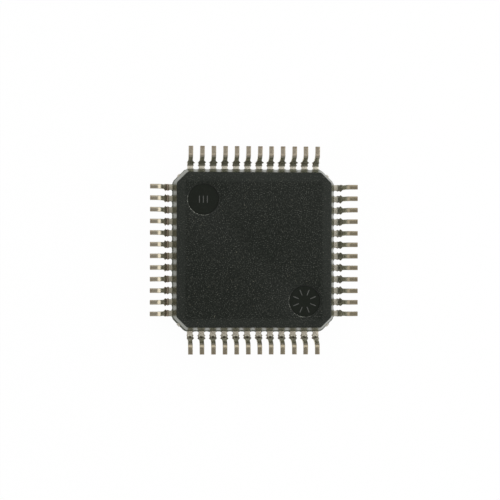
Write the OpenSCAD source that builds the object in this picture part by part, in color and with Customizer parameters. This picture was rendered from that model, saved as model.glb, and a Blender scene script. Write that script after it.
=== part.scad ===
// Thin square chip package with gull-wing leads on all four sides.
// It lies on its marking face: the origin is the middle of that face, and +Z comes
// out of the underside, so the feet of the leads are at the top.
// Seen from +Z, pin 1 is the upper lead of the +X side and the pins count clockwise.

/* [Moulded body] */
// Distance from the middle of the last lead of a row to the side of the body
end_margin = 0.75; // [0.7:0.05:1]
// Thickness from the marking face to the underside
body_h = 1.4; // [1.2:0.05:1.8]
// Lean of the side walls from upright, in degrees
draft = 14; // [5:1:18]
// Leg of the corner chamfers, at the parting line
corner_cut = 0.55; // [0.3:0.05:0.6]
// How far the thin ledge of resin stands out between the leads
ledge = 0.05; // [0.02:0.01:0.08]

/* [Ejector marks and dimple] */
// Diameter of the two round ejector marks in the underside
ejector_d = 1.36; // [0.8:0.02:1.6]
// Depth of the ejector marks
ejector_depth = 0.05; // [0.02:0.01:0.1]
// Distance of the middle of an ejector mark from the two nearest sides
ejector_inset = 1.3; // [1.2:0.05:1.6]
// Diameter of the pin one dimple in the marking face
dimple_d = 0.6; // [0.3:0.05:0.8]
// Depth of the pin one dimple
dimple_depth = 0.06; // [0.02:0.01:0.1]
// Distance of the middle of the dimple from the two nearest sides
dimple_inset = 0.85; // [0.8:0.05:1.2]

/* [Leads] */
// Leads along each side
leads_per_side = 12; // [10:1:13]
// Spacing of the leads
lead_pitch = 0.5; // [0.45:0.01:0.65]
// Thickness of the lead frame sheet
lead_t = 0.127; // [0.1:0.001:0.16]
// Width of a lead where it leaves the body
root_w = 0.25; // [0.2:0.01:0.28]
// Width of a lead where the dam bar was cut away
dambar_w = 0.28; // [0.25:0.01:0.34]
// Width of a lead along its foot
foot_w = 0.2; // [0.15:0.01:0.24]
// Distance of the cut dam bar from the body
dambar_gap = 0.155; // [0.1:0.005:0.2]
// Length of the wide part that the dam bar left
dambar_l = 0.21; // [0.1:0.01:0.24]
// Length over which the lead narrows to its foot width
taper_l = 0.03; // [0.02:0.01:0.16]
// Reach of a lead from the body to its toe
lead_reach = 1; // [0.9:0.05:1.2]
// Level part of a lead between the body and its first bend
shoulder_l = 0.16; // [0.1:0.01:0.2]
// Radius of both bends, measured to the middle of the sheet
bend_r = 0.22; // [0.12:0.01:0.24]
// Slope of the leg from level, in degrees
leg_angle = 70; // [62:1:80]
// How far the feet stand out beyond the underside
standoff = 0.1; // [0.05:0.01:0.15]

/* [Inner fingers] */
// Width of a finger at its tip
finger_w = 0.16; // [0.1:0.01:0.2]
// Gap between the die pad and the finger tips
tip_gap = 0.3; // [0.2:0.05:0.4]
// Gap between a tie bar and the fingers on both sides of it
tie_gap = 0.16; // [0.1:0.01:0.2]

/* [Die pad] */
// Width of the square die pad
pad_w = 4.2; // [3.6:0.1:4.3]
// How far the die pad lies beyond the leads, towards the underside
pad_drop = 0.2; // [0.14:0.01:0.24]
// Width of the four tie bars that hold the die pad
tie_w = 0.15; // [0.1:0.01:0.2]
// Length of tie bar between the corner of the die pad and its step
tie_run = 0.12; // [0.08:0.01:0.2]
// Slope of the step in the tie bars, in degrees
step_angle = 45; // [35:1:60]
// How far the cut ends of the tie bars stand out of the body
tie_stub = 0.03; // [0.01:0.01:0.05]

/* [Die] */
// Width of the square die
die_w = 3; // [2:0.1:3.4]
// Thickness of the die
die_h = 0.28; // [0.2:0.01:0.3]
// Thickness of the adhesive under the die
attach_h = 0.025; // [0.015:0.005:0.04]
// How far the adhesive shows beyond the die on each side
attach_rim = 0.05; // [0.02:0.01:0.1]

/* [Bond wires] */
// Diameter of the wire
wire_d = 0.025; // [0.02:0.001:0.03]
// Diameter of the ball that bonds it to the die
ball_d = 0.07; // [0.05:0.005:0.08]
// Height of the ball
ball_h = 0.03; // [0.02:0.005:0.04]
// Distance of a row of bonds from its edge of the die
bond_inset = 0.08; // [0.06:0.01:0.12]
// Distance of the last bond of a row from the corner of the die
bond_end = 0.29; // [0.24:0.01:0.5]
// Height of the wire loops over the die
loop_h = 0.15; // [0.12:0.01:0.2]
// Radius of the bend at the top of a loop
loop_r = 0.06; // [0.03:0.01:0.08]
// Distance of the second bond from the finger tip
stitch_in = 0.15; // [0.1:0.01:0.25]

/* [Hidden] */
$fn = 64;
resin = "#353733";
tin = "#8f8a7a";
copper = "#b87a4e";
silicon = "#6b7079";
adhesive = "#b9bab5";
gold = "#d9b048";

// Levels
lead_z = body_h / 2;
sheet_bottom = lead_z - lead_t / 2;
pad_z = lead_z + pad_drop;
attach_top = pad_z - lead_t / 2;
die_top = attach_top - attach_h;
die_face = die_top - die_h;
lead_rise = body_h + standoff - lead_t / 2 - lead_z;

// Places out from the centre
row_half = (leads_per_side - 1) / 2 * lead_pitch;
wall = row_half + end_margin;
corner = (2 * wall - corner_cut) / sqrt(2);
pad_corner = pad_w / sqrt(2);
tip_u = pad_w / 2 + tip_gap;
bond_u = die_w / 2 - bond_inset;
stitch_u = tip_u + stitch_in;

// The end fingers run along the tie bars, and the straight part of a lead starts
// where the end leads are that far from them
tie_clear = sqrt(2) * (tie_gap + tie_w / 2);
anchor_u = row_half + root_w / 2 + tie_clear;
tip_pitch = 2 * (tip_u - tie_clear - finger_w / 2) / (leads_per_side - 1);
bond_pitch = 2 * (die_w / 2 - bond_end) / (leads_per_side - 1);

// Lengths along a lead
leg_l = (lead_rise - 2 * bend_r * (1 - cos(leg_angle))) / sin(leg_angle);
foot_l = lead_reach - shoulder_l - 2 * bend_r * sin(leg_angle) - leg_l * cos(leg_angle);

// Wire loops are measured up from the face of the die to the middle of the wire
loop_centre_h = loop_h - loop_r;
finger_h = die_face - sheet_bottom;
arc_steps = 3;
wire_sides = 6;

lead_total = 4 * leads_per_side;
lead_names = [for (n = [1 : lead_total]) str("lead_", n < 10 ? "0" : "", n)];

// Distance along its side of a lead, a finger tip or a bond; pin one is the furthest up
function along(slot, pitch) = ((leads_per_side - 1) / 2 - slot) * pitch;

// Distance along the side of a finger's middle, at distance u from the centre
function finger_v(slot, u) =
    let (tip = along(slot, tip_pitch), root = along(slot, lead_pitch))
    tip + (root - tip) * (u - tip_u) / (anchor_u - tip_u);

// The dam bar leaves no stub on the corner side of the first and last leads
function stub_w(slot, side) =
    (side > 0 && slot == 0) || (side < 0 && slot == leads_per_side - 1) ? root_w : dambar_w;

// One long edge of a flattened lead, from finger tip to toe
function lead_edge(slot, side) =
    let (
        tip = along(slot, tip_pitch),
        root = along(slot, lead_pitch),
        stub_u = wall + dambar_gap,
        stub_half = side * stub_w(slot, side) / 2,
        root_half = side * root_w / 2,
        foot_half = side * foot_w / 2
    )
    [
        [tip_u, tip + side * finger_w / 2],
        [anchor_u, root + root_half],
        [stub_u, root + root_half],
        [stub_u, root + stub_half],
        [stub_u + dambar_l, root + stub_half],
        [stub_u + dambar_l + taper_l, root + foot_half],
        [wall + lead_reach, root + foot_half],
    ];

function backwards(points) = [for (i = [len(points) - 1 : -1 : 0]) points[i]];

module lead_outline(slot) {
    polygon(concat(lead_edge(slot, -1), backwards(lead_edge(slot, 1))));
}

// Turns what is built on the +X side to one of the four sides, clockwise from above
module on_side(side) {
    rotate([0, 0, -90 * side]) children();
}

// Strip of sheet that starts level at the origin and curves upwards
module bend_strip(angle) {
    reach = bend_r + lead_t;
    translate([0, bend_r])
        difference() {
            circle(bend_r + lead_t / 2);
            circle(bend_r - lead_t / 2);
            translate([-reach, -reach]) square([reach, 2 * reach]);
            rotate(angle) translate([0, -reach]) square([reach, 2 * reach]);
        }
}

// Carries on from the end of a bend strip
module after_bend(angle) {
    translate([0, bend_r]) rotate(angle) translate([0, -bend_r]) children();
}

module straight_strip(length) {
    translate([0, -lead_t / 2]) square([length, lead_t]);
}

// Side view of a lead: level finger and shoulder, leg, and level foot
module lead_side() {
    shoulder_end = wall + shoulder_l;
    translate([tip_u, 0]) straight_strip(shoulder_end - tip_u);
    translate([shoulder_end, 0]) {
        bend_strip(leg_angle);
        after_bend(leg_angle) {
            straight_strip(leg_l);
            translate([leg_l, 0])
                mirror([0, 1]) {
                    bend_strip(leg_angle);
                    after_bend(leg_angle) straight_strip(foot_l);
                }
        }
    }
}

// A formed lead is its side view as wide as its outline allows
module lead_form(slot) {
    intersection() {
        translate([0, 0, lead_z])
            rotate([90, 0, 0])
                linear_extrude(2 * wall, center = true) lead_side();
        linear_extrude(body_h + standoff + lead_t) lead_outline(slot);
    }
}

// The same lead while it is still flat sheet, which is the slot it fills in the resin
module flat_lead(slot) {
    translate([0, 0, sheet_bottom]) linear_extrude(lead_t) lead_outline(slot);
}

module lead(number) {
    side = floor((number - 1) / leads_per_side);
    slot = (number - 1) % leads_per_side;
    color(tin) on_side(side) lead_form(slot);
}

// Slab as wide as the body whose two walls lean in from the parting line
module drafted_slab(half_w, turn) {
    lean = sheet_bottom * tan(draft);
    rotate([90, 0, turn])
        linear_extrude(4 * wall, center = true)
            polygon([
                [lean - half_w, 0],
                [half_w - lean, 0],
                [half_w, sheet_bottom],
                [half_w, sheet_bottom + lead_t],
                [half_w - lean, body_h],
                [lean - half_w, body_h],
                [-half_w, sheet_bottom + lead_t],
                [-half_w, sheet_bottom],
            ]);
}

// Resin that was squeezed out between the leads, as thick as the sheet
module resin_ledge() {
    translate([0, 0, sheet_bottom])
        linear_extrude(lead_t)
            intersection() {
                square(2 * (wall + ledge), center = true);
                rotate(45) square(2 * (corner + ledge), center = true);
            }
}

module body_form() {
    intersection() {
        drafted_slab(wall, 0);
        drafted_slab(wall, 90);
        drafted_slab(corner, 45);
        drafted_slab(corner, 135);
    }
    resin_ledge();
}

module moulded_body() {
    color(resin)
        difference() {
            body_form();
            for (turn = [-45, 135])
                rotate(turn)
                    translate([sqrt(2) * (wall - ejector_inset), 0, body_h - ejector_depth])
                        cylinder(h = 2 * ejector_depth, d = ejector_d);
            translate([wall - dimple_inset, wall - dimple_inset, -dimple_depth])
                cylinder(h = 2 * dimple_depth, d = dimple_d);
            for (side = [0 : 3], slot = [0 : leads_per_side - 1])
                on_side(side) flat_lead(slot);
            die_pad();
            die_attach();
            die();
            bond_wires();
        }
}

// Side view of a tie bar along its diagonal: level, a step back to the leads, level
module tie_side() {
    half = lead_t / 2;
    mitre = half * tan(step_angle / 2);
    step_start = pad_corner + tie_run;
    step_end = step_start + pad_drop / tan(step_angle);
    stub_end = corner + ledge + tie_stub;
    polygon([
        [pad_corner - tie_w, pad_z - half],
        [step_start - mitre, pad_z - half],
        [step_end - mitre, lead_z - half],
        [stub_end, lead_z - half],
        [stub_end, lead_z + half],
        [step_end + mitre, lead_z + half],
        [step_start + mitre, pad_z + half],
        [pad_corner - tie_w, pad_z + half],
    ]);
}

module die_pad() {
    color(copper) {
        translate([0, 0, pad_z]) cube([pad_w, pad_w, lead_t], center = true);
        for (turn = [45 : 90 : 315])
            rotate([90, 0, turn]) linear_extrude(tie_w, center = true) tie_side();
    }
}

module die_attach() {
    width = die_w + 2 * attach_rim;
    color(adhesive)
        translate([-width / 2, -width / 2, die_top]) cube([width, width, attach_h]);
}

module die() {
    color(silicon)
        translate([-die_w / 2, -die_w / 2, die_face]) cube([die_w, die_w, die_h]);
}

// Slope of the long straight part of a wire that spans the given distance
function descent(span) =
    let (drop = loop_centre_h - finger_h, run = span - loop_r)
    atan2(drop, run) + asin(loop_r / norm([drop, run]));

// Each ring of a wire: distance out, height, radius, and the direction of its width
function wire_rings(span) =
    let (slope = descent(span))
    concat(
        [
            [0, 0, ball_d / 2, [-1, 0]],
            [0, ball_h, ball_d / 2, [-1, 0]],
            [0, ball_h + wire_d / 2, wire_d / 2, [-1, 0]],
        ],
        [
            for (step = [0 : arc_steps])
                let (heading = 90 - (90 + slope) * step / arc_steps)
                [
                    loop_r - loop_r * sin(heading),
                    loop_centre_h + loop_r * cos(heading),
                    wire_d / 2,
                    [-sin(heading), cos(heading)]
                ]
        ],
        [[span, finger_h, wire_d / 2, [1 / sin(slope), 0]]]
    );

// A wire from its ball on the die to its flat second bond on a finger
module wire(span) {
    rings = wire_rings(span);
    last = len(rings) - 1;
    points = [
        for (ring = rings, i = [0 : wire_sides - 1])
            let (turn = 360 * i / wire_sides, width = ring[2] * cos(turn))
            [
                ring[0] + width * ring[3][0],
                ring[2] * sin(turn),
                -ring[1] - width * ring[3][1]
            ]
    ];
    sides = [
        for (k = [0 : last - 1], i = [0 : wire_sides - 1])
            let (j = (i + 1) % wire_sides)
            for (corners = [[i, j + wire_sides, j], [i, i + wire_sides, j + wire_sides]])
                [for (c = corners) c + k * wire_sides]
    ];
    start_cap = [for (i = [0 : wire_sides - 1]) i];
    end_cap = [for (i = [wire_sides - 1 : -1 : 0]) i + last * wire_sides];
    polyhedron(points, concat(sides, [start_cap, end_cap]));
}

module bond_wires() {
    color(gold)
        for (side = [0 : 3], slot = [0 : leads_per_side - 1])
            on_side(side) {
                start = [bond_u, along(slot, bond_pitch)];
                end = [stitch_u, finger_v(slot, stitch_u)];
                way = end - start;
                translate([start[0], start[1], die_face])
                    rotate([0, 0, atan2(way[1], way[0])]) wire(norm(way));
            }
}

moulded_body();
die_pad();
die_attach();
die();
bond_wires();
for (number = [1 : lead_total])
    lead(number);
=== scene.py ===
import math
import random

import bmesh
import bpy
from mathutils import Matrix, Vector


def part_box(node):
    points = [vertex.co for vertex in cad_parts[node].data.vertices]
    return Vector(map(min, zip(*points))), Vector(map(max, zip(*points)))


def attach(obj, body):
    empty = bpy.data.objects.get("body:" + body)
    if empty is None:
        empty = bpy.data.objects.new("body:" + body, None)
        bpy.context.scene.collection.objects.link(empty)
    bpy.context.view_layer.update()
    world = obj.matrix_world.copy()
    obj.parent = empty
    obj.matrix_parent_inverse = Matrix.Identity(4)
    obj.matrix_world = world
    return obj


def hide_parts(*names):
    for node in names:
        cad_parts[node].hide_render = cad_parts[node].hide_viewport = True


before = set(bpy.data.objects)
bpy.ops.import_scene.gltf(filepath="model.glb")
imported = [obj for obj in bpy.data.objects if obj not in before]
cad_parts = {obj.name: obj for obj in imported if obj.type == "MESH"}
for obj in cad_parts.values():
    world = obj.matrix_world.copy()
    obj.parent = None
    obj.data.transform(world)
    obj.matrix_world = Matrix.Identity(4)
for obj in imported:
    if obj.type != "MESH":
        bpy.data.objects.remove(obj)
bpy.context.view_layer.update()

# ---------------------------------------------------------------------------
# Die pad and its four tie bars: one piece of rolled copper alloy, pressed down
# a step. Only the cut ends of the tie bars show, in the corners of the body.
MM = 0.001


def finish(name, metallic, roughness, ior=1.5):
    """A new material and its shader."""
    material = bpy.data.materials.new(name)
    material.use_nodes = True
    shader = material.node_tree.nodes["Principled BSDF"]
    shader.inputs["Metallic"].default_value = metallic
    shader.inputs["Roughness"].default_value = roughness
    shader.inputs["IOR"].default_value = ior
    return material, shader


def node(material, kind, **settings):
    made = material.node_tree.nodes.new(kind)
    for name, value in settings.items():
        setattr(made, name, value)
    return made


def wire_up(material, source, target):
    material.node_tree.links.new(source, target)


def grain(material, size, stretch=(1, 1, 1), detail=2.0, roughness=0.5):
    """Noise whose grains are about size millimetres across."""
    place = node(material, "ShaderNodeTexCoord")
    mapping = node(material, "ShaderNodeMapping")
    mapping.inputs["Scale"].default_value = stretch
    noise = node(material, "ShaderNodeTexNoise")
    noise.inputs["Scale"].default_value = 1 / (size * MM)
    noise.inputs["Detail"].default_value = detail
    noise.inputs["Roughness"].default_value = roughness
    wire_up(material, place.outputs["Object"], mapping.inputs["Vector"])
    wire_up(material, mapping.outputs["Vector"], noise.inputs["Vector"])
    return noise.outputs["Fac"]


def spread(material, source, low, high, out_low=0.0, out_high=1.0):
    """source between low and high, as a soft step from out_low to out_high."""
    soft = node(material, "ShaderNodeMapRange", interpolation_type="SMOOTHSTEP")
    soft.inputs["From Min"].default_value = low
    soft.inputs["From Max"].default_value = high
    soft.inputs["To Min"].default_value = out_low
    soft.inputs["To Max"].default_value = out_high
    wire_up(material, source, soft.inputs["Value"])
    return soft.outputs["Result"]


def sums(material, operation, first, second):
    """One sum on two sources, or on a source and a plain number."""
    made = node(material, "ShaderNodeMath", operation=operation)
    for value, place in zip((first, second), made.inputs):
        if isinstance(value, (int, float)):
            place.default_value = value
        else:
            wire_up(material, value, place)
    return made.outputs[0]


def tint(material, amount, first, second):
    """Mixes two colours, each written out or made earlier, by an amount."""
    mix = node(material, "ShaderNodeMix", data_type="RGBA")
    for value, place in ((amount, mix.inputs[0]), (first, mix.inputs[6]), (second, mix.inputs[7])):
        if isinstance(value, tuple):
            place.default_value = (*value, 1)
        elif isinstance(value, (int, float)):
            place.default_value = value
        else:
            wire_up(material, value, place)
    return mix.outputs[2]


def texture_bump(material, shader, height, depth, strength=1.0):
    """Surface relief, depth millimetres deep."""
    bump = node(material, "ShaderNodeBump")
    bump.inputs["Strength"].default_value = strength
    bump.inputs["Distance"].default_value = depth * MM
    wire_up(material, height, bump.inputs["Height"])
    wire_up(material, bump.outputs["Normal"], shader.inputs["Normal"])


def dress(name, material):
    """Gives a piece of the frame its finish."""
    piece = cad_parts[name]
    for place in piece.material_slots:
        place.material = material


copper, copper_shader = finish("rolled_copper", 1.0, 0.34)
rolling = grain(copper, 0.05, stretch=(0.15, 1, 1))
place = node(copper, "ShaderNodeTexCoord")
middle = node(copper, "ShaderNodeVectorMath", operation="LENGTH")
wire_up(copper, place.outputs["Object"], middle.inputs[0])
tinned_end = spread(copper, middle.outputs["Value"], 4.45 * MM, 4.6 * MM)
metal = tint(copper, rolling, (0.5, 0.27, 0.16), (0.72, 0.43, 0.28))
metal = tint(copper, tinned_end, metal, tint(copper, rolling, (0.6, 0.56, 0.48), (0.85, 0.8, 0.7)))
wire_up(copper, metal, copper_shader.inputs["Base Color"])
texture_bump(copper, copper_shader, rolling, 0.001)
dress("die_pad", copper)

# ---------------------------------------------------------------------------
# Die adhesive: a thin cured layer of silver-filled epoxy between die and pad.
# It is dispensed wet and squeezed out a little past the die.
silver_epoxy, silver_epoxy_shader = finish("silver_epoxy", 0.35, 0.55)
flakes = grain(silver_epoxy, 0.02, detail=3)
wire_up(
    silver_epoxy,
    tint(silver_epoxy, spread(silver_epoxy, flakes, 0.4, 0.65), (0.42, 0.42, 0.4), (0.7, 0.7, 0.67)),
    silver_epoxy_shader.inputs["Base Color"],
)
texture_bump(silver_epoxy, silver_epoxy_shader, flakes, 0.003)
dress("die_attach", silver_epoxy)

# ---------------------------------------------------------------------------
# Die: a sawn square of silicon with a polished, finely patterned face.
# It lies face down here, on the side of the die pad away from the feet.
silicon, silicon_shader = finish("silicon", 0.85, 0.16)
blocks = grain(silicon, 0.25, stretch=(1, 1, 0.01), detail=4)
wire_up(
    silicon,
    tint(silicon, spread(silicon, blocks, 0.42, 0.58), (0.2, 0.22, 0.3), (0.34, 0.33, 0.36)),
    silicon_shader.inputs["Base Color"],
)
wire_up(silicon, spread(silicon, blocks, 0.35, 0.7, 0.1, 0.3), silicon_shader.inputs["Roughness"])
dress("die", silicon)

# ---------------------------------------------------------------------------
# Bond wires: drawn gold wire, balled on the die and stitched to each finger.
# All 48 are sealed in the resin.
gold, gold_shader = finish("drawn_gold", 1.0, 0.22)
drawing = grain(gold, 0.01)
wire_up(gold, tint(gold, drawing, (0.86, 0.56, 0.17), (0.95, 0.68, 0.28)), gold_shader.inputs["Base Color"])
texture_bump(gold, gold_shader, drawing, 0.0005)
dress("bond_wires", gold)

# ---------------------------------------------------------------------------
# Leads: 48 strips punched from copper alloy sheet, tin plated, then bent down
# and out to a level foot. Punching off the dam bar and the toe bares the copper.
LEADS_PER_SIDE = 12
LEAD_PITCH = 0.5
SHEET = 0.127
ROOT_WIDTH = 0.25
STUB_WIDTH = 0.275
FOOT_WIDTH = 0.2
EDGE_ROUND = 0.02
LEDGE = 0.05
SHOULDER = 0.16
STUB_START = 0.155
STUB_END = 0.365
TAPER_END = 0.395
BEND_RADIUS = 0.22
BEND_STEPS = 12
LEG_ANGLE = math.radians(70)
FINGER_WIDTH = 0.16
TIE_CLEAR = math.sqrt(2) * (0.16 + 0.15 / 2)

lead_low, lead_high = (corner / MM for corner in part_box("lead_01"))
body_low, body_high = (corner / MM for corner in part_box("moulded_body"))
wall = body_high.x - LEDGE
finger_tip = lead_low.x
toe = lead_high.x
sheet_level = lead_low.z + SHEET / 2
foot_level = lead_high.z - SHEET / 2
row_end = (LEADS_PER_SIDE - 1) / 2 * LEAD_PITCH
straight_start = row_end + ROOT_WIDTH / 2 + TIE_CLEAR
tip_row_end = finger_tip - TIE_CLEAR - FINGER_WIDTH / 2


def tin_plate(name, foot, root, stub, root_end, ring, bands=()):
    """Dull tin, by the distance out along a lead; each row's colours are set to how brightly its side is lit:
    painted light and shade.
    """
    material, shader = finish(name, 1.0, 0.34)
    place = node(material, "ShaderNodeUVMap", uv_map="along")
    split = node(material, "ShaderNodeSeparateXYZ")
    wire_up(material, place.outputs["UV"], split.inputs[0])
    out, across = split.outputs["X"], split.outputs["Y"]
    speckle = grain(material, 0.03, detail=3, roughness=0.6)
    blotch = grain(material, 0.14, detail=2)

    # Foot, browner at the toe and in blotches; its tone is set per side, painted light and shade.
    plate = tint(material, spread(material, speckle, 0.3, 0.7), tuple(0.86 * share for share in foot), foot)
    toe_stain = sums(
        material, "MULTIPLY", spread(material, out, 0.88, 0.98), spread(material, blotch, 0.35, 0.6)
    )
    plate = tint(material, toe_stain, plate, (0.3, 0.24, 0.17))

    # Leg and shoulder, rubbed dull in the bending die.
    plate = tint(material, spread(material, out, 0.58, 0.48), plate, (0.78, 0.74, 0.6))
    patchy = tint(material, spread(material, blotch, 0.35, 0.65), stub, tuple(0.65 * share for share in stub))
    plate = tint(material, spread(material, out, 0.43, 0.39), plate, patchy)

    # Where the dam bar was punched off, across the first bend: darker bands, partly the cut marks and partly
    # painted shade of the bend, set for each side; and a dish painted as a dark spot in a bright ring.
    for start, end, colour, strength in bands:
        band = sums(
            material,
            "MULTIPLY",
            spread(material, out, start - 0.01, start + 0.01, 0, strength),
            spread(material, out, end + 0.01, end - 0.01),
        )
        plate = tint(material, band, plate, colour)
    # The dish is not in the mesh: its middle is painted shade and the ring round it a painted highlight, as
    # strong as ring gives for each side.
    middle = sums(material, "SUBTRACT", out, 0.272)
    far = sums(
        material,
        "ADD",
        sums(material, "MULTIPLY", middle, middle),
        sums(material, "MULTIPLY", across, across),
    )
    far = sums(material, "SQRT", far, 0)
    painted_dish_shade = sums(material, "MULTIPLY", spread(material, far, 0.06, 0.035), ring)
    plate = tint(material, painted_dish_shade, plate, (0.12, 0.1, 0.07))
    rim = sums(
        material, "MULTIPLY", spread(material, far, 0.055, 0.07), spread(material, far, 0.1, 0.085)
    )
    plate = tint(material, sums(material, "MULTIPLY", rim, ring), plate, (0.85, 0.82, 0.71))

    # Root, never bent or punched; its colour is set per side, painted light and shade.
    at_root = spread(material, out, root_end + 0.01, root_end - 0.01)
    plate = tint(material, at_root, plate, root)
    wire_up(material, plate, shader.inputs["Base Color"])
    worn = spread(material, out, 0.48, 0.38, 0.3, 0.52)
    wire_up(material, worn, shader.inputs["Roughness"])
    texture_bump(material, shader, speckle, 0.003, 0.8)
    return material


# One copy of the tin for each side: right, front, left and back. Their foot, stub, band, ring and root colours
# differ to paint how each side is lit and shaded.
tins_painted_per_side = (
    tin_plate(
        "tin_right_painted_light",
        (0.305, 0.265, 0.185),
        (0.48, 0.45, 0.375),
        (0.62, 0.6, 0.49),
        0.185,
        0.2,
        ((0.18, 0.215, (0.32, 0.31, 0.25), 0.9), (0.215, 0.275, (0.19, 0.185, 0.15), 0.9)),
    ),
    tin_plate(
        "tin_front_painted_light",
        (0.33, 0.29, 0.21),
        (0.5, 0.46, 0.38),
        (0.9, 0.88, 0.74),
        0.165,
        0.6,
        ((0.16, 0.335, (0.38, 0.35, 0.28), 0.9),),
    ),
    tin_plate(
        "tin_left_painted_light",
        (0.37, 0.33, 0.25),
        (0.4, 0.375, 0.3),
        (0.66, 0.62, 0.49),
        0.165,
        0.0,
        (
            (0.16, 0.22, (0.2, 0.165, 0.11), 0.85),
            (0.225, 0.27, (0.56, 0.44, 0.36), 0.9),
            (0.275, 0.315, (0.27, 0.21, 0.14), 0.9),
        ),
    ),
    tin_plate(
        "tin_back_painted_light",
        (0.44, 0.385, 0.295),
        (0.62, 0.585, 0.495),
        (0.54, 0.52, 0.42),
        0.175,
        0.0,
        ((0.17, 0.25, (0.2, 0.19, 0.145), 0.9), (0.25, 0.31, (0.33, 0.32, 0.25), 0.8)),
    ),
)

cut_copper, cut_copper_shader = finish("cut_copper", 1.0, 0.5)
tearing = grain(cut_copper, 0.02, detail=3)
wire_up(
    cut_copper,
    tint(cut_copper, tearing, (0.2, 0.12, 0.08), (0.5, 0.33, 0.23)),
    cut_copper_shader.inputs["Base Color"],
)
texture_bump(cut_copper, cut_copper_shader, tearing, 0.005)


def pull(bm, face, way):
    """Extrudes the end of a strip straight on."""
    made = bmesh.ops.extrude_face_region(bm, geom=[face])["geom"]
    moved = [part for part in made if isinstance(part, bmesh.types.BMVert)]
    bmesh.ops.translate(bm, verts=moved, vec=way)
    return next(part for part in made if isinstance(part, bmesh.types.BMFace))


def bend(bm, face, centre, upwards):
    """Carries the end of a strip round a bend, up or back to level."""
    made = bmesh.ops.spin(
        bm,
        geom=[face, *face.edges, *face.verts],
        cent=centre,
        axis=(0, -1 if upwards else 1, 0),
        angle=LEG_ANGLE,
        steps=BEND_STEPS,
        use_merge=False,
        use_duplicate=False,
    )["geom_last"]
    return next(part for part in made if isinstance(part, bmesh.types.BMFace))


def to_object(bm, name, materials, body="root"):
    """Turns a mesh in millimetres into a finished piece in metres."""
    bmesh.ops.scale(bm, verts=bm.verts, vec=(MM, MM, MM))
    bmesh.ops.recalc_face_normals(bm, faces=bm.faces)
    mesh = bpy.data.meshes.new(name)
    bm.to_mesh(mesh)
    bm.free()
    for material in materials:
        mesh.materials.append(material)
    mesh.shade_smooth()
    mesh.set_sharp_from_angle(angle=math.radians(32))
    piece = bpy.data.objects.new(name, mesh)
    bpy.context.scene.collection.objects.link(piece)
    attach(piece, body)
    return piece


def burrs(side, chance):
    """Lumps of torn metal where the punch left each edge of the dam bar: (edge, out, height, length)."""
    lumps = []
    for edge in (-1, 1):
        lean = 1.6 if edge < 0 and side in (1, 3) else 1.0
        outer = (0.026 + 0.028 * chance.random()) * (lean if side == 3 else 1)
        inner = (0.01 + 0.03 * chance.random()) * (lean if side == 1 else 1)
        length = 0.022 if side == 3 else 0.026
        lumps.append((edge, 0.325 + chance.uniform(-0.012, 0.012), outer, length))
        lumps.append((edge, 0.215 + chance.uniform(-0.012, 0.012), inner, 0.026))
    return lumps


def half_width(out, edge, slot, lumps):
    """Half width of a lead towards one edge, at a distance out from the body wall."""
    corner_side = (edge > 0 and slot == 0) or (edge < 0 and slot == LEADS_PER_SIDE - 1)
    stub = ROOT_WIDTH if corner_side else STUB_WIDTH
    if out < STUB_START:
        width = ROOT_WIDTH
    elif out < STUB_END:
        width = stub
    elif out < TAPER_END:
        width = stub + (FOOT_WIDTH - stub) * (out - STUB_END) / (TAPER_END - STUB_END)
    else:
        width = FOOT_WIDTH
    size = 0.3 if corner_side else 1.0
    torn = sum(
        size * height * math.exp(-(((out - where) / length) ** 2))
        for lump_edge, where, height, length in lumps
        if lump_edge == edge
    )
    return width / 2 + torn


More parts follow.
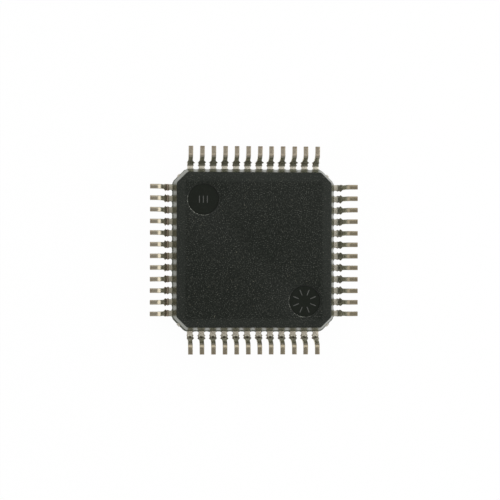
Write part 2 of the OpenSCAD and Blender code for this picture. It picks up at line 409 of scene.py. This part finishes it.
def make_lead(number):
    side, slot = divmod(number - 1, LEADS_PER_SIDE)
    chance = random.Random(400 + number)
    bm = bmesh.new()
    bmesh.ops.create_grid(bm, x_segments=1, y_segments=1, size=0.5)
    bmesh.ops.scale(bm, verts=bm.verts, vec=(ROOT_WIDTH, SHEET, 1))
    bmesh.ops.bevel(
        bm, geom=bm.verts, offset=EDGE_ROUND, affect="VERTICES", segments=3, profile=0.5, material=-1
    )
    bmesh.ops.rotate(bm, verts=bm.verts, matrix=Matrix.Rotation(math.pi / 2, 3, "X"))
    bmesh.ops.rotate(bm, verts=bm.verts, matrix=Matrix.Rotation(math.pi / 2, 3, "Z"))
    bmesh.ops.translate(bm, verts=bm.verts, vec=(finger_tip, 0, sheet_level))

    # The strip runs through the resin, out of the wall, up the leg and out to the toe.
    bm.faces.ensure_lookup_table()
    end = bm.faces[0]
    shoulder_end = wall + SHOULDER
    rise = foot_level - sheet_level
    across, up = math.cos(LEG_ANGLE), math.sin(LEG_ANGLE)
    leg = (rise - 2 * BEND_RADIUS * (1 - across)) / up
    end = pull(bm, end, (straight_start - finger_tip, 0, 0))
    end = pull(bm, end, (wall - straight_start, 0, 0))
    end = pull(bm, end, (SHOULDER, 0, 0))
    end = bend(bm, end, (shoulder_end, 0, sheet_level + BEND_RADIUS), True)
    end = pull(bm, end, (leg * across, 0, leg * up))
    foot_start = shoulder_end + 2 * BEND_RADIUS * up + leg * across
    end = bend(bm, end, (foot_start, 0, foot_level - BEND_RADIUS), False)
    end = pull(bm, end, (toe - foot_start, 0, 0))
    bmesh.ops.bevel(
        bm, geom=list(end.edges), offset=0.008, affect="EDGES", segments=1, profile=0.5, material=-1
    )

    # Loops of edges where the width changes.
    for out in (0.154, 0.17, 0.19, 0.205, 0.22, 0.235, 0.255, 0.285, 0.305, 0.318, 0.33, 0.345, 0.364, 0.394):
        bmesh.ops.bisect_plane(
            bm,
            geom=[*bm.verts, *bm.edges, *bm.faces],
            plane_co=(wall + out, 0, 0),
            plane_no=(1, 0, 0),
            dist=1e-5,
        )

    lumps = burrs(side, chance)
    sway = chance.gauss(0, 0.006)
    root = ((LEADS_PER_SIDE - 1) / 2 - slot) * LEAD_PITCH
    tip = root / row_end * tip_row_end
    along = bm.loops.layers.uv.new("along")
    for face in bm.faces:
        for loop in face.loops:
            loop[along].uv = (loop.vert.co.x - wall, loop.vert.co.y)
    for vert in bm.verts:
        share = vert.co.y / (ROOT_WIDTH / 2)
        edge = 1 if share > 0 else -1
        out = vert.co.x - wall
        if vert.co.x < straight_start:
            run = (vert.co.x - finger_tip) / (straight_start - finger_tip)
            middle = tip + (root - tip) * run
            half = (FINGER_WIDTH + (ROOT_WIDTH - FINGER_WIDTH) * run) / 2
        else:
            middle = root + sway * max(0, out - SHOULDER) ** 1.5
            half = half_width(out, edge, slot, lumps)
        vert.co.y = middle + share * half

    for face in bm.faces:
        out = face.calc_center_median().x - wall
        sheared = abs(face.normal.y) > 0.8 and STUB_START < out < STUB_END
        if sheared or out > toe - wall - 0.002:
            face.material_index = 1
    bmesh.ops.rotate(bm, verts=bm.verts, matrix=Matrix.Rotation(-math.pi / 2 * side, 3, "Z"))
    piece = to_object(bm, f"pin_{number:02d}", (tins_painted_per_side[side], cut_copper))
    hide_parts(f"lead_{number:02d}")


for number in range(1, 4 * LEADS_PER_SIDE + 1):
    make_lead(number)

# ---------------------------------------------------------------------------
# Moulded body: black epoxy resin, transfer moulded round everything else. The
# mould leaves drafted walls, a thin ledge with ears beside the leads, two round
# ejector marks on the underside and a dimple at pin one on the other face.
CORNER_CUT = 0.55
CORNER_ROUND = 0.11
DRAFT = math.radians(14)
PLATING = 0.006
RIM_ROUND = 0.05
HALF_SHIFT = (0.025, 0.035)
FLASH_HEIGHT = 0.06
FLASH_WIDTH = 0.03
EJECTOR_RADIUS = 0.68
EJECTOR_DEPTH = 0.05
EJECTOR_PLACE = wall - 1.3
DIMPLE_RADIUS = 0.3
DIMPLE_DEPTH = 0.06
DIMPLE_PLACE = wall - 0.85

thickness = body_high.z
ledge_low = lead_low.z + PLATING
ledge_high = lead_low.z + SHEET - PLATING
ejectors = (
    ((-EJECTOR_PLACE, EJECTOR_PLACE), EJECTOR_RADIUS),
    ((EJECTOR_PLACE, -EJECTOR_PLACE), EJECTOR_RADIUS),
)
dimples = (((DIMPLE_PLACE, DIMPLE_PLACE), DIMPLE_RADIUS),)


def resin(name, roughness, dark, pale, size, depth, ior=1.5):
    """Filled black epoxy; the filler shows as pale grains of the given size."""
    material, shader = finish(name, 0.0, roughness, ior)
    filler = grain(material, size, detail=3, roughness=0.65)
    wire_up(
        material,
        tint(material, spread(material, filler, 0.5, 0.72), dark, pale),
        shader.inputs["Base Color"],
    )
    texture_bump(material, shader, filler, depth)
    return material


# Both faces take the grain of the spark-eroded mould, finer along the margins.
matt_resin, matt_shader = finish("matt_resin", 0.0, 0.45, 1.3)
place = node(matt_resin, "ShaderNodeTexCoord")
split = node(matt_resin, "ShaderNodeSeparateXYZ")
wire_up(matt_resin, place.outputs["Object"], split.inputs[0])
aside = sums(matt_resin, "ABSOLUTE", split.outputs["X"], 0)
ahead = sums(matt_resin, "ABSOLUTE", split.outputs["Y"], 0)
reach = sums(
    matt_resin,
    "MAXIMUM",
    sums(matt_resin, "MAXIMUM", aside, ahead),
    sums(matt_resin, "SUBTRACT", sums(matt_resin, "ADD", aside, ahead), (wall - CORNER_CUT) * MM),
)
margin = spread(matt_resin, reach, (wall - 0.6) * MM, (wall - 0.45) * MM)
filler = grain(matt_resin, 0.045, detail=1.5, roughness=0.6)
cloud = grain(matt_resin, 0.9, detail=2)
specks = grain(matt_resin, 0.06, detail=2, roughness=0.7)
ground = tint(matt_resin, margin, (0.001, 0.003, 0.0005), (0.009, 0.0115, 0.0082))
pale = tint(matt_resin, margin, (0.075, 0.079, 0.068), (0.052, 0.055, 0.046))
surface = tint(matt_resin, spread(matt_resin, filler, 0.52, 0.78), ground, pale)
rare = spread(matt_resin, specks, 0.66, 0.76)
rare = sums(matt_resin, "MULTIPLY", rare, spread(matt_resin, cloud, 0.42, 0.66, 0.25, 1.0))
surface = tint(matt_resin, rare, surface, (0.17, 0.16, 0.12))
wire_up(matt_resin, surface, matt_shader.inputs["Base Color"])
texture_bump(matt_resin, matt_shader, filler, 0.006)

smooth_resin = resin("smooth_resin", 0.3, (0.03, 0.034, 0.018), (0.05, 0.056, 0.032), 0.05, 0.001, 1.95)
wax = smooth_resin.node_tree.nodes["Principled BSDF"]
wax.inputs["Coat Weight"].default_value = 0.3
wax.inputs["Specular Tint"].default_value = (0.95, 1, 0.84, 1)
wax.inputs["Coat Roughness"].default_value = 0.25
pin_polished = resin("pin_polished_resin", 0.35, (0.004, 0.006, 0.003), (0.008, 0.01, 0.007), 0.06, 0.002, 1.28)
# Rims of the round recesses: pale flecks painted only on their side towards -X and -Y, where light from +X and
# +Y would catch them: painted glints.
rim_painted_glints, rim_glints_shader = finish("rim_painted_glints", 0.0, 0.4, 1.4)
place = node(rim_painted_glints, "ShaderNodeTexCoord")
split = node(rim_painted_glints, "ShaderNodeSeparateXYZ")
wire_up(rim_painted_glints, place.outputs["Object"], split.inputs[0])
aslant = sums(rim_painted_glints, "ADD", split.outputs["X"], split.outputs["Y"])
painted_glints = sums(
    rim_painted_glints,
    "MULTIPLY",
    spread(rim_painted_glints, grain(rim_painted_glints, 0.05, detail=3, roughness=0.7), 0.5, 0.62),
    spread(rim_painted_glints, aslant, -0.25 * MM, -0.7 * MM),
)
wire_up(
    rim_painted_glints, tint(rim_painted_glints, painted_glints, (0.006, 0.008, 0.005), (0.5, 0.53, 0.45)), rim_glints_shader.inputs["Base Color"]
)
raised_line = resin("raised_line", 0.5, (0.05, 0.052, 0.047), (0.12, 0.125, 0.11), 0.04, 0.003)


def ring_edges(bm, level, radius=None, centre=(0, 0)):
    """Edges that lie level at a height, and on a circle if one is given."""
    found = []
    for edge in bm.edges:
        if any(abs(vert.co.z - level) > 1e-5 for vert in edge.verts):
            continue
        if radius is not None:
            away = [math.hypot(v.co.x - centre[0], v.co.y - centre[1]) for v in edge.verts]
            if any(abs(distance - radius) > 1e-4 for distance in away):
                continue
        found.append(edge)
    return found


def sink(bm, centre, radius, depth, level, up):
    """Lets a round recess into a face that the circle's edges already bound."""
    rim = ring_edges(bm, level, radius, centre)
    made = bmesh.ops.extrude_edge_only(bm, edges=rim)["geom"]
    moved = [part for part in made if isinstance(part, bmesh.types.BMVert)]
    floor_rim = [part for part in made if isinstance(part, bmesh.types.BMEdge)]
    bmesh.ops.translate(bm, verts=moved, vec=(0, 0, -depth * up))
    shift = Matrix.Translation((-centre[0], -centre[1], 0))
    bmesh.ops.scale(bm, verts=moved, vec=(0.985, 0.985, 1), space=shift)
    floor = bmesh.ops.contextual_create(bm, geom=floor_rim)["faces"]
    for face in floor:
        face.material_index = 2
    # The rim's rounding takes material 4, the rim with painted glints.
    bmesh.ops.bevel(
        bm, geom=rim, offset=0.018, affect="EDGES", segments=2, profile=0.5, material=4
    )


def close_face(bm, level, circles):
    """Fills the level top or bottom of the body, round its circles."""
    rim = ring_edges(bm, level)
    for centre, radius in circles:
        bmesh.ops.create_circle(
            bm, segments=72, radius=radius, matrix=Matrix.Translation((*centre, level))
        )
    edges = ring_edges(bm, level)
    made = bmesh.ops.triangle_fill(bm, edges=edges, use_beauty=True)["geom"]
    for part in made:
        if isinstance(part, bmesh.types.BMFace):
            part.material_index = 0
    return rim


def stroke(bm, centre, angle, near, far, width=0.035):
    """A plain raised line on the floor of an ejector mark."""
    made = bmesh.ops.create_cube(bm, size=1)["verts"]
    bmesh.ops.scale(bm, verts=made, vec=(far - near, width, 0.03))
    bmesh.ops.translate(bm, verts=made, vec=((far + near) / 2, 0, 0))
    bmesh.ops.rotate(bm, verts=made, matrix=Matrix.Rotation(angle, 3, "Z"))
    bmesh.ops.translate(bm, verts=made, vec=(*centre, thickness - EJECTOR_DEPTH))
    for face in {face for vert in made for face in vert.link_faces}:
        face.material_index = 3


bm = bmesh.new()
bmesh.ops.create_grid(bm, x_segments=1, y_segments=1, size=wall)
bmesh.ops.bevel(
    bm, geom=bm.verts, offset=CORNER_CUT, affect="VERTICES", segments=1, profile=0.5, material=-1
)
bmesh.ops.bevel(
    bm, geom=bm.verts, offset=CORNER_ROUND, affect="VERTICES", segments=5, profile=0.5, material=-1
)
long_edges = [edge for edge in bm.edges if edge.calc_length() > 2]
bmesh.ops.subdivide_edges(bm, edges=long_edges, cuts=119)
short_edges = [edge for edge in bm.edges if 0.3 < edge.calc_length() < 2]
bmesh.ops.subdivide_edges(bm, edges=short_edges, cuts=11)
bmesh.ops.translate(bm, verts=bm.verts, vec=(0, 0, ledge_low))
bm.faces.ensure_lookup_table()
lower_face = bm.faces[0]
upper_face = pull(bm, lower_face, (0, 0, ledge_high - ledge_low))
band = [face for face in bm.faces if face not in (lower_face, upper_face)]

# The walls lean in from the parting line to both faces.
bmesh.ops.recalc_face_normals(bm, faces=bm.faces)
for face, height in ((upper_face, thickness - ledge_high), (lower_face, ledge_low)):
    bmesh.ops.inset_region(
        bm,
        faces=[face],
        thickness=height * math.tan(DRAFT),
        depth=0,
        use_even_offset=True,
        use_boundary=True,
    )
    bmesh.ops.translate(bm, verts=face.verts, vec=(0, 0, height if face is upper_face else -height))

# The ledge is squeezed out between the leads and rises to an ear beside each.
made = bmesh.ops.extrude_face_region(bm, geom=band)["geom"]
lip = [part for part in made if isinstance(part, bmesh.types.BMVert)]
chance = random.Random(77)
columns = {}
for vert in lip:
    key = (round(vert.co.x, 4), round(vert.co.y, 4))
    if key not in columns:
        columns[key] = chance.gauss(0, 1)
    x, y = vert.co.x, vert.co.y
    outwards = Vector((x, y, 0)).normalized()
    amount = LEDGE * 0.8 + 0.003 * columns[key]
    if max(abs(x), abs(y)) > wall - 1e-4:
        facing_x = abs(x) > abs(y)
        outwards = Vector((math.copysign(1, x), 0, 0)) if facing_x else Vector((0, math.copysign(1, y), 0))
        run = y if facing_x else x
        slot = min(max(round((run + row_end) / LEAD_PITCH), 0), LEADS_PER_SIDE - 1)
        gap = abs(run - (slot * LEAD_PITCH - row_end)) - ROOT_WIDTH / 2
        ear = math.exp(-((max(gap, 0) / 0.035) ** 2))
        amount = LEDGE * 0.66 + 0.034 * ear + 0.004 * columns[key]
    vert.co += outwards * amount

# The half of the mould on the feet's side sits a little towards +X and +Y.
for vert in bm.verts:
    if vert.co.z > ledge_high - 1e-5 and vert not in lip:
        vert.co.x += HALF_SHIFT[0] if vert.co.x > wall - 0.7 else 0
        vert.co.y += HALF_SHIFT[1] if vert.co.y > wall - 0.7 else 0

# A thin flash of resin climbs onto each lead where it leaves the wall.
bmesh.ops.bisect_plane(
    bm,
    geom=[*bm.verts, *bm.edges, *bm.faces],
    plane_co=(0, 0, ledge_high + FLASH_HEIGHT),
    plane_no=(0, 0, 1),
    dist=1e-5,
)
for vert in bm.verts:
    if abs(vert.co.z - ledge_high) > 1e-5 or vert in lip:
        continue
    facing_x = abs(vert.co.x) > abs(vert.co.y)
    reach, run = (vert.co.x, vert.co.y) if facing_x else (vert.co.y, vert.co.x)
    slot = round((run + row_end) / LEAD_PITCH)
    if abs(reach) < wall - 0.02 or not 0 <= slot < LEADS_PER_SIDE:
        continue
    gap = max(abs(run - (slot * LEAD_PITCH - row_end)) - ROOT_WIDTH / 2, 0)
    climb = math.copysign(FLASH_WIDTH * math.exp(-((gap / 0.04) ** 2)), reach)
    vert.co += Vector((climb, 0, 0)) if facing_x else Vector((0, climb, 0))

for face in bm.faces:
    face.material_index = 1

# Both faces are filled round their recesses, and all rims are softened.
bmesh.ops.delete(bm, geom=[upper_face, lower_face], context="FACES_ONLY")
top_rim = close_face(bm, thickness, ejectors)
bottom_rim = close_face(bm, 0, dimples)
bmesh.ops.bevel(
    bm,
    geom=top_rim + bottom_rim,
    offset=RIM_ROUND,
    affect="EDGES",
    segments=4,
    profile=0.5,
    material=0,
)
for centre, radius in ejectors:
    sink(bm, centre, radius, EJECTOR_DEPTH, thickness, 1)
for centre, radius in dimples:
    sink(bm, centre, radius, DIMPLE_DEPTH, 0, -1)

# A plain dial in one ejector mark and three plain bars in the other.
for turn in range(8):
    stroke(bm, ejectors[1][0], math.radians(22.5 + 45 * turn), 0.27, 0.53)
for shift in (-0.17, 0, 0.17):
    centre = (ejectors[0][0][0] + shift, ejectors[0][0][1])
    stroke(bm, centre, math.pi / 2, -0.15, 0.15)

body = to_object(bm, "resin_body", (matt_resin, smooth_resin, pin_polished, raised_line, rim_painted_glints))
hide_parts("moulded_body")

# ---------------------------------------------------------------------------
# Table and light tent: a wide white table, a dim tent round it, and a soft box
# on each of its four sides, tilted over the chip, strongest from +X.
bpy.ops.mesh.primitive_plane_add(size=3, location=(0, 0, -0.000003))
table = bpy.context.object
table.name = "table"
table_white = bpy.data.materials.new("table_white")
table_white.use_nodes = True
tree = table_white.node_tree
tree.nodes.clear()
output = tree.nodes.new("ShaderNodeOutputMaterial")
paper = tree.nodes.new("ShaderNodeBsdfDiffuse")
paper.inputs["Color"].default_value = (0.86, 0.86, 0.85, 1)
glow = tree.nodes.new("ShaderNodeEmission")
glow.inputs["Strength"].default_value = 1
path = tree.nodes.new("ShaderNodeLightPath")
seen = tree.nodes.new("ShaderNodeMath")
seen.operation = "MAXIMUM"
part_seen = tree.nodes.new("ShaderNodeMath")
part_seen.operation = "MULTIPLY"
part_seen.inputs[1].default_value = 0.97
mix = tree.nodes.new("ShaderNodeMixShader")
tree.links.new(path.outputs["Is Camera Ray"], seen.inputs[0])
tree.links.new(path.outputs["Is Glossy Ray"], seen.inputs[1])
through = tree.nodes.new("ShaderNodeMath")
through.operation = "MAXIMUM"
tree.links.new(seen.outputs[0], through.inputs[0])
tree.links.new(path.outputs["Is Transmission Ray"], through.inputs[1])
tree.links.new(through.outputs[0], part_seen.inputs[0])
tree.links.new(part_seen.outputs[0], mix.inputs["Fac"])
tree.links.new(paper.outputs[0], mix.inputs[1])
tree.links.new(glow.outputs[0], mix.inputs[2])
tree.links.new(mix.outputs[0], output.inputs["Surface"])
table.data.materials.append(table_white)

world = bpy.data.worlds.new("tent")
bpy.context.scene.world = world
world.use_nodes = True
tent = world.node_tree.nodes["Background"]
tent.inputs["Color"].default_value = (1, 1, 1, 1)
tent.inputs["Strength"].default_value = 0.42


def soft_box(name, azimuth, tilt, width, depth, brightness):
    """A lamp 100 mm away, tilt degrees from straight overhead, facing the chip."""
    turn, lean = math.radians(azimuth), math.radians(tilt)
    way = Vector((math.cos(turn) * math.sin(lean), math.sin(turn) * math.sin(lean), math.cos(lean)))
    lamp = bpy.data.lights.new(name, "AREA")
    lamp.shape = "RECTANGLE"
    lamp.size = width
    lamp.size_y = depth
    lamp.energy = brightness * math.pi * width * depth
    holder = bpy.data.objects.new(name, lamp)
    holder.location = way * 0.1
    side = Vector((-math.sin(turn), math.cos(turn), 0))
    holder.rotation_euler = Matrix((side, way.cross(side), way)).transposed().to_euler()
    bpy.context.scene.collection.objects.link(holder)


soft_box("box_right", 0, 57, 0.1, 0.1, 2.15)
soft_box("box_back", 90, 36, 0.1, 0.07, 1.4)
soft_box("box_left", 180, 48, 0.1, 0.08, 0.95)
soft_box("box_front", 270, 31, 0.1, 0.06, 0.54)

# ---------------------------------------------------------------------------
# Camera: nearly straight above, a little to the left.
eye = Vector((-5.071, -0.899, 71.445)) * MM
target = Vector((-0.137, 0.019, 0.8)) * MM
backwards = (eye - target).normalized()
right = Vector((0, 1, 0)).cross(backwards).normalized()
upwards = backwards.cross(right)
camera_data = bpy.data.cameras.new("camera")
camera_data.sensor_width = 36
camera_data.lens = 116.9
camera_data.clip_start = 0.005
camera_data.clip_end = 5
camera = bpy.data.objects.new("camera", camera_data)
turned = Matrix((right, upwards, backwards)).transposed() @ Matrix.Rotation(0.002, 3, "Z")
camera.matrix_world = Matrix.Translation(eye) @ turned.to_4x4()
bpy.context.scene.collection.objects.link(camera)
bpy.context.scene.camera = camera
bpy.context.scene.view_settings.view_transform = "Standard"
